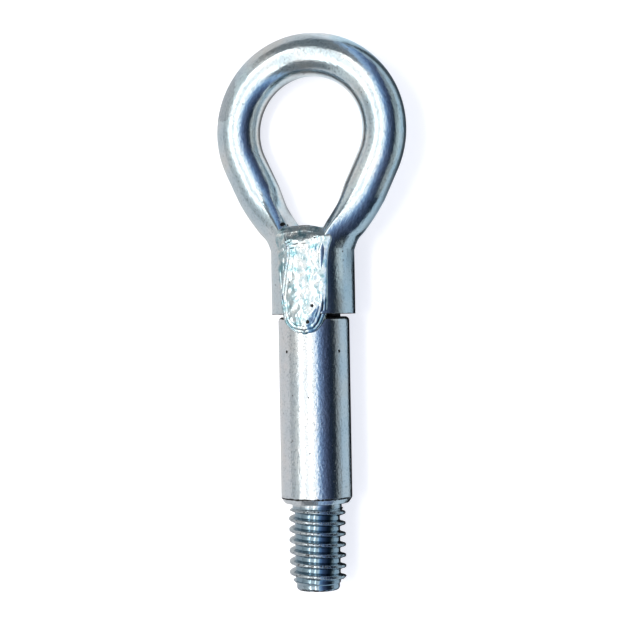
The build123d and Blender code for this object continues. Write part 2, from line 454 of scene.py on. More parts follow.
# %% Patterns of the plating
def plating_patterns(tree, film_size, lengthways):
    """The patterns of a plated surface, as named sockets. Lengthways names the attribute of the
    straight bar, or is None for a piece along Y."""
    place = add_node(tree, "ShaderNodeTexCoord").outputs["Object"]
    drawn_place, axis = place, 1
    if lengthways:
        bar_place = add_node(tree, "ShaderNodeAttribute", attribute_name=lengthways)
        drawn_place, axis = bar_place.outputs["Vector"], 2
    painted = add_node(tree, "ShaderNodeAttribute", attribute_name="marks").outputs["Vector"]
    marks = add_node(tree, "ShaderNodeSeparateXYZ", {"Vector": painted}).outputs

    cells = add_node(tree, "ShaderNodeTexVoronoi", {"Vector": place, "Scale": 420.0})
    pits = fade(tree, cells.outputs["Distance"], 0.13, 0.05)
    pits = times(tree, pits, fade(tree, noise(tree, place, 0.006, 1.0), 0.53, 0.57))
    # The grime mark also carries painted shade, in gaps and pores
    grime_and_shade = ragged(tree, marks["X"], place, 0.0006)
    scratches = noise(tree, drawn_place, 0.00032, 1.0, stretched(axis, 9))
    return {
        "film": noise(tree, place, film_size, 4.0),
        "grain": noise(tree, drawn_place, 0.0007, 3.0, stretched(axis, 1.8)),
        "peel": noise(tree, place, 0.0018, 2.0),
        "drawn": noise(tree, drawn_place, 0.0005, 2.0, stretched(axis, 30)),
        "speckle": fade(tree, noise(tree, drawn_place, 0.0006, 3.0), 0.52, 0.70),
        "scratch": fade(tree, scratches, 0.70, 0.80),
        "tint": marks["Y"],
        "stain": ragged(tree, marks["Z"], place, 0.0016),
        "dirt_and_shade": reckon(tree, "MAXIMUM", pits, grime_and_shade),
    }


print("patterns are ready")

# %% [markdown]
# On top of the film's colour lie darker ones, in layers: the thick film in the thread, which is
# lighter on its right as painted light, stains, fine speckles, scratches, and dirt with the
# painted shade of gaps and pores. A table says how much each layer covers, so a layer can be
# changed or added in one line.

# %% Colour of the plating
# Pattern, how much it covers, and its colour
dark_layers = [
    ("tint", 1.0, (0.27, 0.37, 0.43, 1.0)),
    ("stain", 0.7, (0.42, 0.46, 0.48, 1.0)),
    ("speckle", 0.4, (0.28, 0.32, 0.34, 1.0)),
    ("scratch", 0.35, (0.2, 0.2, 0.2, 1.0)),
    # Dirt also stands for painted shade in gaps and pores
    ("dirt_and_shade", 1.0, (0.035, 0.033, 0.03, 1.0)),
]


def plating_colour(tree, patterns, film_colours):
    """The film's colour under the darker layers."""
    colour = colour_row(tree, patterns["film"], film_colours)
    for pattern, cover, dark in dark_layers:
        colour = blend(tree, times(tree, patterns[pattern], cover), colour, dark)
    return colour


print(f"{len(dark_layers)} dark layers")

# %% [markdown]
# The same patterns move the roughness up and down, and they give the bump its height. Heights
# are in metres, so the bump needs no tuning: a grain of 55 micrometres is what it says. The
# thick film in the thread is smooth and glossy, so it takes most of both away.

# %% Roughness and relief
roughness_moves = {"film": 0.14, "drawn": 0.08, "stain": 0.08, "tint": -0.13, "dirt_and_shade": 0.35}
drawn_height, dark_mark_depth = 0.000006, 0.00004
tint_smooths = 0.85


def plating_roughness(tree, patterns, roughness):
    """Roughness moved by the patterns. Film and drawing marks swing to both sides of it."""
    total = roughness - (roughness_moves["film"] + roughness_moves["drawn"]) / 2
    for pattern, move in roughness_moves.items():
        total = reckon(tree, "MULTIPLY_ADD", patterns[pattern], move, total)
    return total


def plating_bump(tree, patterns, grain_height, peel_height):
    """The normal of the uneven surface."""
    height = times(tree, patterns["grain"], grain_height)
    height = reckon(tree, "MULTIPLY_ADD", patterns["peel"], peel_height, height)
    left_rough = reckon(tree, "MULTIPLY_ADD", patterns["tint"], -tint_smooths, 1.0)
    height = times(tree, height, left_rough)
    height = reckon(tree, "MULTIPLY_ADD", patterns["drawn"], drawn_height, height)
    height = reckon(tree, "MULTIPLY_ADD", patterns["dirt_and_shade"], -dark_mark_depth, height)
    feeds = {"Height": height, "Strength": 1.0, "Distance": 1.0}
    return add_node(tree, "ShaderNodeBump", feeds).outputs["Normal"]


print("roughness is moved by", ", ".join(roughness_moves))

# %% [markdown]
# One function mixes the finish, and three calls make it for the bar, the stud and the welds.
# They could share one material, but the bar's drawing marks follow its bend, the stud has a
# greyer film, and the welds are glossier with a film that changes faster.

# %% Mix the three finishes
def zinc_finish(name, film_colours, film_size, lengthways, grain_height, peel_height, roughness):
    """A zinc-plated finish. Sizes and heights are in metres."""
    finish, tree = new_material(name)
    patterns = plating_patterns(tree, film_size, lengthways)
    feeds = {
        "Base Color": plating_colour(tree, patterns, film_colours),
        "Metallic": 1.0,
        "Roughness": plating_roughness(tree, patterns, roughness),
        "Normal": plating_bump(tree, patterns, grain_height, peel_height),
    }
    metal = add_node(tree, "ShaderNodeBsdfPrincipled", feeds)
    add_node(tree, "ShaderNodeOutputMaterial", {"Surface": metal.outputs["BSDF"]})
    print(f"{name}: {len(tree.nodes)} nodes")
    return finish


bar_finish = zinc_finish(
    "zinc_on_bar",
    blue_film,
    film_size=0.009,
    lengthways="straightened",
    grain_height=0.000055,
    peel_height=0.00003,
    roughness=0.19,
)
stud_finish = zinc_finish(
    "zinc_on_stud",
    grey_film,
    film_size=0.009,
    lengthways=None,
    grain_height=0.000065,
    peel_height=0.00002,
    roughness=0.17,
)
weld_finish = zinc_finish(
    "zinc_on_weld",
    teal_film,
    film_size=0.0022,
    lengthways=None,
    grain_height=0.00003,
    peel_height=0.00004,
    roughness=0.15,
)

# %% [markdown]
# ## The bent eye
# The eye is one bar. It starts in the right half shell, climbs the leg, goes round the loop and
# comes down the other side. A curve with a round bevel would give the loop, but not the pressed
# ends. So the eye is a row of rings: the bar is round in the loop and a half shell at its ends,
# and between them each ring is a mixture of the two outlines, which is what a press does to the
# steel. First come the sizes, in millimetres, and the heights that follow from them.

# %% Sizes of the eye
bar_radius = 6.125
loop_radius = 21.5
lean = radians(25.2)
spigot_radius, shell_radius = 7.5, 11.75
shell_middle = (spigot_radius + shell_radius) / 2
shell_bottom, shell_top = 53.0, 71.0
knee_rise = 3.56

knee_height = shell_top + knee_rise
leg_length_up = (loop_radius * cos(lean) - shell_middle) / tan(lean)
loop_height = knee_height + leg_length_up + loop_radius * sin(lean)


def leg_middle(height):
    """How far from the stud's axis the leg's middle is."""
    return shell_middle + (height - knee_height) * tan(lean)


print(f"loop middle {loop_height:.2f} mm above the shoulder")

# %% [markdown]
# An outline is four arcs: the outer face, a lip, the face on the spigot, and the other lip. Each
# arc goes through three points, and every point slides from its place on the round bar to its
# place on the half shell. Complex numbers keep this short, because one of them holds a whole
# point of the plane: outwards is real and upwards is imaginary.

# %% Draw the bar's outline, from round to half shell
lip_angle = 64.0
lip_roundness = 0.35
lip_starts = (100.0, 115.0, 130.0)


def turn(radius, angle):
    """The point at this radius and angle, in degrees."""
    return radius * np.exp(1j * radians(angle))


def arc_through(first, middle, last, count):
    """Points on the arc through three points of the plane, without the last one."""
    share = (last - first) / (middle - first)
    centre = first + (middle - first) * (share - abs(share) ** 2) / (2j * share.imag)
    sweep = np.angle((last - centre) / (first - centre)) % (2 * pi)
    if ((middle - first).conjugate() * (last - first)).imag < 0:
        sweep -= 2 * pi
    return centre + (first - centre) * np.exp(1j * sweep * np.arange(count) / count)


def bar_outline(pressed):
    """The corners and the arcs' middles of an outline: round at 0, a half shell at 1."""

    def between(round_point, shell_point):
        return round_point * (1 - pressed) + (shell_point - shell_middle) * pressed

    outside = between(bar_radius, shell_radius)
    inside = between(-bar_radius, spigot_radius)
    lip_outer = between(turn(bar_radius, lip_starts[0]), turn(shell_radius, lip_angle))
    shell_lip = turn(shell_middle, lip_angle) + turn(lip_roundness, lip_angle + 90)
    lip_middle = between(turn(bar_radius, lip_starts[1]), shell_lip)
    lip_inner = between(turn(bar_radius, lip_starts[2]), turn(spigot_radius, lip_angle))
    corners = [lip_outer.conjugate(), lip_outer, lip_inner, lip_inner.conjugate()]
    middles = [outside, lip_middle, inside, lip_middle.conjugate()]
    return [*corners, corners[0]], middles


shell_corners, _ = bar_outline(1.0)
print(f"half shell {shell_corners[1].imag - shell_corners[0].imag:.2f} mm across its outer lips")

# %% [markdown]
# A press leaves no sharp lips. A bevel would need edges that the rings don't have yet, so the
# outline itself is softened. It is walked in even steps, and a Fourier transform takes out what
# is finer than the softness. Each arc then gets a fixed number of points, so that all rings have
# as many, in the same order.

# %% Soften the outline
outline_counts = (72, 22, 44, 22)
corner_softness = 0.22
arc_steps, even_steps = 400, 2048


def interpolate(at, places, points):
    """Complex points at some places along a line."""
    return np.interp(at, places, points.real) + 1j * np.interp(at, places, points.imag)


def soft_outline(pressed):
    """The outline with its lips softened, as one row of complex points."""
    corners, middles = bar_outline(pressed)
    arcs = [arc_through(corners[i], middles[i], corners[i + 1], arc_steps) for i in range(4)]
    ends = zip(arcs, corners[1:])
    lengths = [np.abs(np.diff(np.append(arc, end))).sum() for arc, end in ends]
    starts = np.concatenate([[0], np.cumsum(lengths)])
    closed = np.concatenate([*arcs, corners[:1]])
    reached = np.concatenate([[0], np.cumsum(np.abs(np.diff(closed)))])
    even = np.linspace(0, starts[-1], even_steps, endpoint=False)
    waves = np.fft.fftfreq(even_steps, starts[-1] / even_steps)
    kept = np.exp(-2 * (pi * waves * corner_softness) ** 2)
    soft = np.fft.ifft(np.fft.fft(interpolate(even, reached, closed)) * kept)
    picks = [
        start + length * np.arange(count) / count
        for start, length, count in zip(starts, lengths, outline_counts)
    ]
    return interpolate(
        np.concatenate(picks), np.append(even, starts[-1]), np.append(soft, soft[0])
    )


print(f"{len(soft_outline(0.0))} points round the bar")

# %% [markdown]
# Each ring has a place, a turn and a share of pressing. The press works over sixteen
# millimetres of the leg, so those three values are given at five heights there, and a smooth
# line joins them. The line never overshoots, or the leg would bulge.

# %% Helper for smooth lines
def ease_through(places, values, at):
    """A smooth line through the values at these places, which never overshoots them."""
    places, values = np.array(places, float), np.array(values, float)
    steps = np.diff(values) / np.diff(places)
    slopes = np.concatenate([steps[:1], (steps[1:] + steps[:-1]) / 2, steps[-1:]])
    after, before = np.append(steps, steps[-1]), np.insert(steps, 0, steps[0])
    limit = 3 * np.minimum(np.abs(after), np.abs(before))
    slopes = np.clip(slopes, -limit, limit)
    span = np.clip(np.searchsorted(places, at, "right") - 1, 0, len(steps) - 1)
    width = places[span + 1] - places[span]
    t = (at - places[span]) / width
    start, end = values[span], values[span + 1]
    leave = slopes[span] * width * t * (1 - t) ** 2
    arrive = slopes[span + 1] * width * t * t * (1 - t)
    return start + (end - start) * t * t * (3 - 2 * t) + leave - arrive


knee_ease = 0.35
press_heights = shell_top + np.array([0.0, 3.6, 7.0, 11.4, 15.9])
press_middles = [shell_middle, shell_middle + knee_ease, *map(leg_middle, press_heights[2:])]
press_turns = [0.0, lean / 2, lean, lean, lean]
press_shares = [1.0, 0.72, 0.42, 0.16, 0.0]
print(f"the press works from {press_heights[0]:.1f} to {press_heights[-1]:.1f} mm")

# %% [markdown]
# The right half is set out from the shell's end to the top of the loop: shell, pressed leg,
# plain leg, loop. The left half is its mirror image in reverse order, so the bar stays in one
# run.

# %% Set out the rings
shell_rings, pressed_rings, leg_rings, loop_rings = 18, 40, 14, 80

end_heights = shell_bottom + np.array([0.02, 0.1, 0.3])
shell_run = np.linspace(shell_bottom + 1.0, shell_top, shell_rings)
shell_heights = np.concatenate([end_heights, shell_run])
pressed_heights = np.linspace(shell_top, press_heights[-1], pressed_rings)[1:]
leg_heights = np.linspace(press_heights[-1], knee_height + leg_length_up, leg_rings)[1:]
loop_turns = np.linspace(-lean, pi / 2, loop_rings)[1:]

# Each ring: distance from the axis, height, turn, share of pressing
right_half = [(shell_middle, h, 0.0, 1.0) for h in shell_heights]
right_half += zip(
    ease_through(press_heights, press_middles, pressed_heights),
    pressed_heights,
    -ease_through(press_heights, press_turns, pressed_heights),
    ease_through(press_heights, press_shares, pressed_heights),
)
right_half += [(leg_middle(h), h, -lean, 0.0) for h in leg_heights]
right_half += [
    (loop_radius * cos(a), loop_height + loop_radius * sin(a), a, 0.0) for a in loop_turns
]
left_half = [(-x, y, pi - angle, share) for x, y, angle, share in reversed(right_half[:-1])]
bar_rings = right_half + left_half
print(f"{len(bar_rings)} rings along the bar")

# %% [markdown]
# Every piece ends in the same way, so its last steps are helpers. A closed mesh gets its faces
# turned outwards, smooth shading up to its sharp edges, and a place in the scene. Wear and painted
# shade are painted as one vector for each point, which the finish reads as grime with painted
# shade, thread tint and stain.

# %% Helpers that finish a mesh
sharp_edge = radians(40)


def face_outwards(mesh):
    """Turns all faces of a closed mesh outwards."""
    shell = bmesh.new()
    shell.from_mesh(mesh)
    bmesh.ops.recalc_face_normals(shell, faces=shell.faces)
    shell.to_mesh(mesh)
    shell.free()


def settle_piece(name, mesh):
    """Shades a finished mesh smooth up to its edges and puts it in the scene."""
    face_outwards(mesh)
    mesh.shade_smooth()
    mesh.set_sharp_from_angle(angle=sharp_edge)
    piece = bpy.data.objects.new(name, mesh)
    bpy.context.scene.collection.objects.link(piece)
    print(f"{name}: {len(mesh.vertices)} points, {len(mesh.polygons)} faces")
    return piece


def paint_marks(mesh, grime_and_shade=0.0, tint=0.0, stain=0.0):
    """Gives every point its share of grime and painted shade, of the thread's dark tint and of stain.
    """
    marks = np.zeros((len(mesh.vertices), 3))
    for column, share in enumerate((grime_and_shade, tint, stain)):
        marks[:, column] = np.clip(share, 0, 1)
    attribute = mesh.attributes.new("marks", "FLOAT_VECTOR", "POINT")
    attribute.data.foreach_set("vector", marks.ravel())


print("helpers for finishing a mesh are ready")

# %% [markdown]
# Now the rings are filled with points and skinned with quads. While the bar is followed, its
# length is added up. Together with a point's place in its ring, that gives its place on the
# straight bar, and the drawing marks go round the bend with it.

# %% Skin the rings
def tube_faces(rings, around):
    """Quads between neighbouring rings, and one cap at each end."""
    quads = []
    for ring in range(rings - 1):
        for k in range(around):
            a, b = ring * around + k, ring * around + (k + 1) % around
            quads.append((a, a + around, b + around, b))
    first = tuple(range(around))
    last = tuple(range((rings - 1) * around, rings * around))[::-1]
    return quads + [first, last]


eye_points, straight_points = [], []
travelled, previous = 0.0, bar_rings[0][:2]
for x, y, angle, pressed in bar_rings:
    ring = soft_outline(pressed)
    travelled += np.hypot(x - previous[0], y - previous[1])
    previous = (x, y)
    eye_points += zip(x + ring.real * cos(angle), y + ring.real * sin(angle), ring.imag)
    straight_points += zip(ring.real, ring.imag, np.full(len(ring), travelled))

eye_mesh = bpy.data.meshes.new("bent_eye")
eye_mesh.from_pydata(eye_points, [], tube_faces(len(bar_rings), sum(outline_counts)))
eye_mesh.transform(laid_down)
eye_mesh.materials.append(bar_finish)
eye = settle_piece("bent_eye", eye_mesh)
straightened = eye_mesh.attributes.new("straightened", "FLOAT_VECTOR", "POINT")
straightened.data.foreach_set("vector", (np.array(straight_points) * millimetre).ravel())
print(f"{travelled:.0f} mm of bar")

# %% [markdown]
# The eye has seen some use. It is darker at the cut ends of the bar, the lower ends of the half
# shells. A blow hole beside the weld on the left leg is a dark spot, painted shade for the inside
# of the hole, and the film is dull in a patch on the upper left of the loop. Such marks could be
# painted by hand in texture paint. As sums over the points they are sharp at any size and need no
# picture.

# %% Wear and painted shade of the eye
def rise(values, start, end):
    """A straight step from 0 at the start to 1 at the end."""
    return np.clip((values - start) / (end - start), 0, 1)


def dot(distance, size, fill=1.9):
    """A round mark that is full in its middle."""
    return np.clip(fill - distance / size, 0, 1)


hole_place, hole_size = (-6.5, 78.2), 0.45

x, y, z = np.array(eye_points).T
# Darker towards the lower ends of the half shells
dark_shell_ends = 0.8 * rise(y, shell_bottom + 0.5, shell_bottom)
# Painted shade: the blow hole is a dark spot
blow_hole_shade = dot(np.hypot(x - hole_place[0], y - hole_place[1]), hole_size) * (z > 0)
dull_patch = np.minimum(rise(x, -18.5, -22.5), 0.75) * rise(y, 104, 110) * rise(y, 129, 124)
paint_marks(eye_mesh, np.maximum(dark_shell_ends, blow_hole_shade), 0.0, dull_patch)
print(f"grime on {np.count_nonzero(dark_shell_ends + blow_hole_shade)} points of the eye")

# %% [markdown]
# ## The threaded stud
# A lathe turns the stud from one outline: the tip, the blank for the thread, the neck, the
# shank with its chamfer and its round upper corner, and the spigot between the half shells. The
# outline is a list of corners. Each has a radius and a height, a rounding, and the length of
# the steps to the next corner, which are short where the thread will need points.

# %% Corners of the turned outline
thread_radius = 8.0
# Radius, height, rounding, length of the steps after it
turned_corners = [
    (0.0, -24.5, 0.0, 0.6),
    (6.05, -24.5, 0.9, 0.3),
    (6.05, -22.7, 0.3, 0.14),
    (thread_radius, -20.75, 0.3, 0.125),
    (thread_radius, -2.0, 0.35, 0.125),
    (6.95, -1.4, 0.35, 0.14),
    (6.95, 0.0, 0.45, 0.25),
    (9.0, 0.0, 0.5, 0.25),
    (10.0, 1.5, 0.8, 0.4),
    (10.0, 52.3, 1.2, 0.3),
    (spigot_radius, 52.3, 0.2, 3.0),
    (spigot_radius, 76.0, 0.8, 1.0),
    (0.0, 76.0, 0.0, 1.0),
]
print(f"{len(turned_corners)} corners on the turned outline")

# %% [markdown]
# The corners are rounded in the outline itself, because a round corner on a turned piece is a
# round corner on its outline. Each becomes a short arc, and the runs between the arcs are cut
# into steps.

# %% Round the outline
arc_shares = np.linspace(0, 1, 7)


def corner_arc(before, corner, after, rounding):
    """A rounded corner as a few points, or the corner itself where nothing rounds it."""
    if not rounding:
        return [corner]
    back = (before - corner) / np.linalg.norm(before - corner)
    ahead = (after - corner) / np.linalg.norm(after - corner)
    half = np.arccos(back @ ahead) / 2
    halfway = (back + ahead) / np.linalg.norm(back + ahead)
    middle = corner + halfway * rounding / np.sin(half)
    start = corner + back * rounding / np.tan(half) - middle
    end = corner + ahead * rounding / np.tan(half) - middle
    sweep = pi - 2 * half
    return [
        middle + (start * sin((1 - t) * sweep) + end * sin(t * sweep)) / sin(sweep)
        for t in arc_shares
    ]


def rounded_outline(corners):
    """Points along an outline of corners as listed above."""
    spots = [np.array(corner[:2]) for corner in corners]
    befores, afters = [None, *spots], [*spots[1:], None]
    arcs = [
        corner_arc(before, spot, after, corner[2])
        for before, spot, after, corner in zip(befores, spots, afters, corners)
    ]
    points = []
    for arc, following, corner in zip(arcs, arcs[1:], corners):
        run = following[0] - arc[-1]
        count = int(np.linalg.norm(run) / corner[3])
        points += arc + [arc[-1] + run * k / (count + 1) for k in range(1, count + 1)]
    return np.array(points + arcs[-1])


outline_points = rounded_outline(turned_corners)
turned = bpy.data.meshes.new("turned_outline")
turned.from_pydata([(r, y, 0.0) for r, y in outline_points], [], [])
print(f"{len(outline_points)} points along the turned outline")

# %% [markdown]
# ## Trees that follow a rule
# What follows a rule is made by Geometry Nodes. A tree has named inputs for its sizes, and it
# ends in Realize Instances and Set Material, so that its result is real geometry in its finish.
# A modifier runs it on a base mesh. Its inputs are set by their identifiers, the result is
# copied to a plain mesh, and the modifier and its carrier go away again.

# %% Helpers that run a rule
def new_rule(name, inputs):
    """A Geometry Nodes tree with named inputs: the tree, its input sockets, their identifiers."""
    tree = bpy.data.node_groups.new(name, "GeometryNodeTree")
    sockets = tree.interface
    sockets.new_socket("Geometry", in_out="INPUT", socket_type="NodeSocketGeometry")
    sockets.new_socket("Geometry", in_out="OUTPUT", socket_type="NodeSocketGeometry")
    keys = {}
    for title, kind in inputs.items():
        socket = sockets.new_socket(title, in_out="INPUT", socket_type="NodeSocket" + kind)
        keys[title] = socket.identifier
    return tree, tree.nodes.new("NodeGroupInput").outputs, keys


def end_rule(tree, geometry, finish):
    """Ends a tree with real geometry, smooth and in its finish."""
    smooth = add_node(tree, "GeometryNodeSetShadeSmooth", {"Geometry": geometry})
    feeds = {"Geometry": smooth.outputs["Geometry"]}
    real = add_node(tree, "GeometryNodeRealizeInstances", feeds)
    feeds = {"Geometry": real.outputs["Geometry"], "Material": finish}
    dressed = add_node(tree, "GeometryNodeSetMaterial", feeds)
    add_node(tree, "NodeGroupOutput", {"Geometry": dressed.outputs["Geometry"]})
    print(f"{tree.name}: {len(tree.nodes)} nodes")


def follow_rule(name, base, rule, values):
    """Runs a tree on a base mesh and returns the result as a plain mesh."""
    tree, _, keys = rule
    carrier = bpy.data.objects.new(name + "_base", base)
    bpy.context.scene.collection.objects.link(carrier)
    modifier = carrier.modifiers.new(name, "NODES")
    modifier.node_group = tree
    for title, value in values.items():
        modifier[keys[title]] = value
    evaluated = carrier.evaluated_get(bpy.context.evaluated_depsgraph_get())
    mesh = bpy.data.meshes.new_from_object(evaluated)
    carrier.modifiers.remove(modifier)
    bpy.data.objects.remove(carrier)
    return mesh


print("helpers for rules are ready")

# %% [markdown]
# ## The rule for the thread
# A thread is cut by a tool that moves three millimetres for each turn. Spin or a Screw modifier
# could sweep one tooth along a helix, but then the thread has to be joined to the stud, and its
# run-out needs work by hand. Here the stud is one sheet of points, wrapped round the axis. Each
# row takes its radius and its height from the outline.

# %% Wrap a sheet round the axis
stud_rule = new_rule(
    "lathe_and_thread",
    {
        "Sides": "Int",
        "Pitch": "Float",
        "Thread Radius": "Float",
        "Depth": "Float",
        "First Crest": "Float",
        "Start Angle": "Float",
        "Fade From": "Float",
        "Fade To": "Float",
        "Edge Blend": "Float",
        "Finish": "Material",
    },
)
tree, given, _ = stud_rule
outline = given["Geometry"]
size = add_node(tree, "GeometryNodeAttributeDomainSize", {"Geometry": outline})
rows = size.outputs["Point Count"]
columns = reckon(tree, "ADD", given["Sides"], 1)
feeds = {"Size X": 1.0, "Size Y": 1.0, "Vertices X": columns, "Vertices Y": rows}
sheet = add_node(tree, "GeometryNodeMeshGrid", feeds).outputs["Mesh"]
spot = add_node(tree, "GeometryNodeInputPosition").outputs["Position"]
flat = add_node(tree, "ShaderNodeSeparateXYZ", {"Vector": spot}).outputs
angle = times(tree, reckon(tree, "ADD", flat["X"], 0.5), 2 * pi)
row = times(tree, reckon(tree, "ADD", flat["Y"], 0.5), reckon(tree, "SUBTRACT", rows, 1))
feeds = {"Geometry": outline, "Value": spot, "Index": reckon(tree, "ROUND", row)}
sampled = add_node(
    tree, "GeometryNodeSampleIndex", feeds, data_type="FLOAT_VECTOR", domain="POINT"
)
turned_at = add_node(tree, "ShaderNodeSeparateXYZ", {"Vector": sampled.outputs["Value"]}).outputs
radius, height = turned_at["X"], turned_at["Y"]
print(f"{tree.name}: {len(stud_rule[2])} named inputs")

# %% [markdown]
# A point's height and its angle together tell how far it is from the nearest crest, as a share
# of the pitch. On the front the crests fall from left to right, which makes the thread a
# left-hand one. A curve then turns that share into a depth, with a rounded crest, a sloping
# flank and a broad root.

# %% Follow the helix
# Share of the way from crest to root, and share of the depth there
thread_form = [
    (0.0, 0.0),
    (0.15, 0.02),
    (0.28, 0.13),
    (0.43, 0.52),
    (0.56, 0.86),
    (0.66, 0.985),
    (1.0, 1.0),
]
above_first = reckon(tree, "SUBTRACT", height, given["First Crest"])
turns_along = reckon(tree, "DIVIDE", above_first, given["Pitch"])
turns_round = reckon(tree, "DIVIDE", reckon(tree, "ADD", angle, given["Start Angle"]), 2 * pi)
off_crest = reckon(tree, "PINGPONG", reckon(tree, "SUBTRACT", turns_along, turns_round), 0.5)
form = add_node(tree, "ShaderNodeFloatCurve", {"Value": times(tree, off_crest, 2.0)})
curve = form.mapping.curves[0]
for place, depth in thread_form[1:-1]:
    curve.points.new(place, depth)
for point, (place, depth) in zip(curve.points, thread_form):
    point.location = (place, depth)
    point.handle_type = "AUTO_CLAMPED"
form.mapping.update()
print(f"thread form with {len(curve.points)} points")

# %% [markdown]
# The cut fades out towards the neck, as it does where a tool is drawn out of the steel. The stud
# keeps the smaller of the turned radius and the cut one, with a soft edge between them. That
# gives the run-out at the tip for nothing, since the outline is narrower than the thread there.

# %% Cut the thread
begun = fade(tree, height, given["Fade From"], given["Fade To"])
cut = times(tree, form.outputs["Value"], given["Depth"], begun)
threaded = reckon(tree, "SUBTRACT", given["Thread Radius"], cut)
is_thread = reckon(tree, "LESS_THAN", height, given["Fade From"])
least = reckon(tree, "SMOOTH_MIN", radius, threaded, given["Edge Blend"])
difference = reckon(tree, "SUBTRACT", least, radius)
shaped = reckon(tree, "MULTIPLY_ADD", difference, is_thread, radius)
feeds = {
    "X": times(tree, shaped, reckon(tree, "COSINE", angle)),
    "Y": height,
    "Z": times(tree, shaped, reckon(tree, "SINE", angle)),
}
wrapped = add_node(tree, "ShaderNodeCombineXYZ", feeds).outputs["Vector"]
placed = add_node(tree, "GeometryNodeSetPosition", {"Geometry": sheet, "Position": wrapped})
feeds = {"Geometry": placed.outputs["Geometry"], "Distance": 0.0005}
joined = add_node(tree, "GeometryNodeMergeByDistance", feeds)
end_rule(tree, joined.outputs["Geometry"], given["Finish"])

# %% [markdown]
# With the rule in place, the stud is one call. The start angle turns the thread so that it looks
# the same from above however the part lies.

# %% Turn the stud and cut its thread
thread_depth = 1.65
stud_values = {
    "Sides": 192,
    "Pitch": 3.0,
    "Thread Radius": thread_radius,
    "Depth": thread_depth,
    "First Crest": -2.9,
    "Start Angle": roll,
    "Fade From": -1.0,
    "Fade To": -2.6,
    "Edge Blend": 0.15,
    "Finish": stud_finish,
}


def mesh_points(mesh):
    """A mesh's points as three rows: x, y and z."""
    points = np.empty(3 * len(mesh.vertices))
    mesh.vertices.foreach_get("co", points)
    return points.reshape(-1, 3).T


stud_mesh = follow_rule("threaded_stud", turned, stud_rule, stud_values)
x, y, z = mesh_points(stud_mesh)
print(f"stud {y.max() - y.min():.1f} mm long, {len(y)} points")

# %% [markdown]
# In the thread the film is thick and dark, and darker towards the roots. It is lighter on the
# right of the thread, which is painted light. The crests and the tip have been in a socket: they
# are worn and a little dirty. The gap above the shank and the spigot in it are darkened, which is
# painted shade. Grime sits along the edge of the chamfer, and two dark specks lie on the shank. A
# second material for the thread would end in a hard line, so all of this is painted.

# %% Wear, painted shade and painted light of the stud
specks = [(-5.5, 42.7, 8.4), (8.7, 42.7, 4.9)]

radius = np.hypot(x, z)
rightward = x * cos(roll) - z * sin(roll)
thread = rise(y, -0.2, -1.0)
# Painted shade: the gap above the shank and the spigot in it are darkened
painted_gap_shade = rise(y, 52.0, 52.3)
chamfer_edge = 0.66 * np.exp(-(((y - 1.55) / 0.45) ** 2))
worn_crest = 0.42 * thread * rise(radius, 7.3, 7.9)
worn_tip = 0.54 * rise(y, -22.8, -24.0) * rise(radius, 4.6, 5.2)
dots = [dot(np.linalg.norm([x - a, y - b, z - c], axis=0), 0.4, 1.7) for a, b, c in specks]
stud_grime_and_shade = np.maximum.reduce([painted_gap_shade, chamfer_edge, worn_crest, worn_tip, *dots])

root = rise(radius, thread_radius, thread_radius - thread_depth)
thread_tint_and_side_light = thread * (0.35 + 0.65 * root)
thread_tint_and_side_light *= 1 - 0.25 * rise(y, -22.0, -23.5)
thread_tint_and_side_light *= 1 - 0.8 * rise(y, -24.2, -24.4)
# Painted light: the thread's tint is lighter on its right side
thread_tint_and_side_light *= 1 - 0.5 * rise(rightward, 3.2, 6.4)
dull_crest = 0.62 * thread * rise(radius, 7.4, 7.8)
paint_marks(stud_mesh, stud_grime_and_shade, thread_tint_and_side_light, dull_crest)
stud_mesh.transform(laid_down)
stud = settle_piece("turned_stud", stud_mesh)

# %% [markdown]
# ## The weld beads
# A bead is steel that has flowed over the slot between the two half shells and frozen. The front
# one is a broad, nearly flat pad with a rounded tongue on the shank. Sculpting would give such a
# form, but a table of stations can be corrected in one place. At each height a station gives the
# two toes, the face and the layers beside it. The upper line of the bead is then the lower of
# two faces: its own, and a layer over the steel beneath. Both toes dip a little into that steel,
# so no gap shows.

# %% Draw a bead's upper line
bead_columns = (
    "left toe",
    "right toe",
    "highest place",
    "crown",
    "left radius",
    "right radius",
    "steel under",
    "left layer",
    "right layer",
    "ridge",
)
points_over, points_under = 120, 10
toe_sink = 0.15
toe_widths = (0.6, 0.35)
layer_change = 3.0
bevel_start, bevel_way, bevel_softness = (1.2, 51.0), (0.75, -0.66), 0.1
face_softness = 0.02
lip_width, second_lip, toe_lip = 0.22, 0.8, 0.9
cap_starts = (75.0, 72.5)


def bead_line(y, at, lips, bevel):
    """Places across a bead at one height, and how high it is there."""
    left, right, ridge = at["left toe"], at["right toe"], at["ridge"]
    swing = np.sin(np.linspace(-pi / 2, pi / 2, points_over))
    x = (left + right) / 2 + (right - left) / 2 * swing
    radius = np.where(x < at["highest place"], at["left radius"], at["right radius"])
    face = at["crown"] - radius + np.sqrt(radius**2 - (x - at["highest place"]) ** 2)
    past = (x - bevel_start[0]) * bevel_way[0] + (y - bevel_start[1]) * bevel_way[1]
    face -= bevel * (past + np.sqrt(past**2 + bevel_softness)) / 2
    inward = np.minimum(rise(x, left, left + toe_widths[0]), rise(x, right, right - toe_widths[1]))
    change = rise(x, -layer_change, layer_change)
    layer = at["left layer"]
    layer += (at["right layer"] - at["left layer"]) * change**2 * (3 - 2 * change)
    beside = np.sqrt(at["steel under"] ** 2 - x**2) - toe_sink
    beside += (layer + toe_sink) * inward * (2 - inward)
    z = (face + beside - np.sqrt((face - beside) ** 2 + face_softness)) / 2
    for middle, lip in zip((ridge, ridge + second_lip, left + toe_lip), lips):
        shape = np.exp(-(((x - middle) / lip_width) ** 2))
        z += lip * shape * inward * rise(y, *cap_starts)
    return x, z


print(f"{points_over} points across a bead")

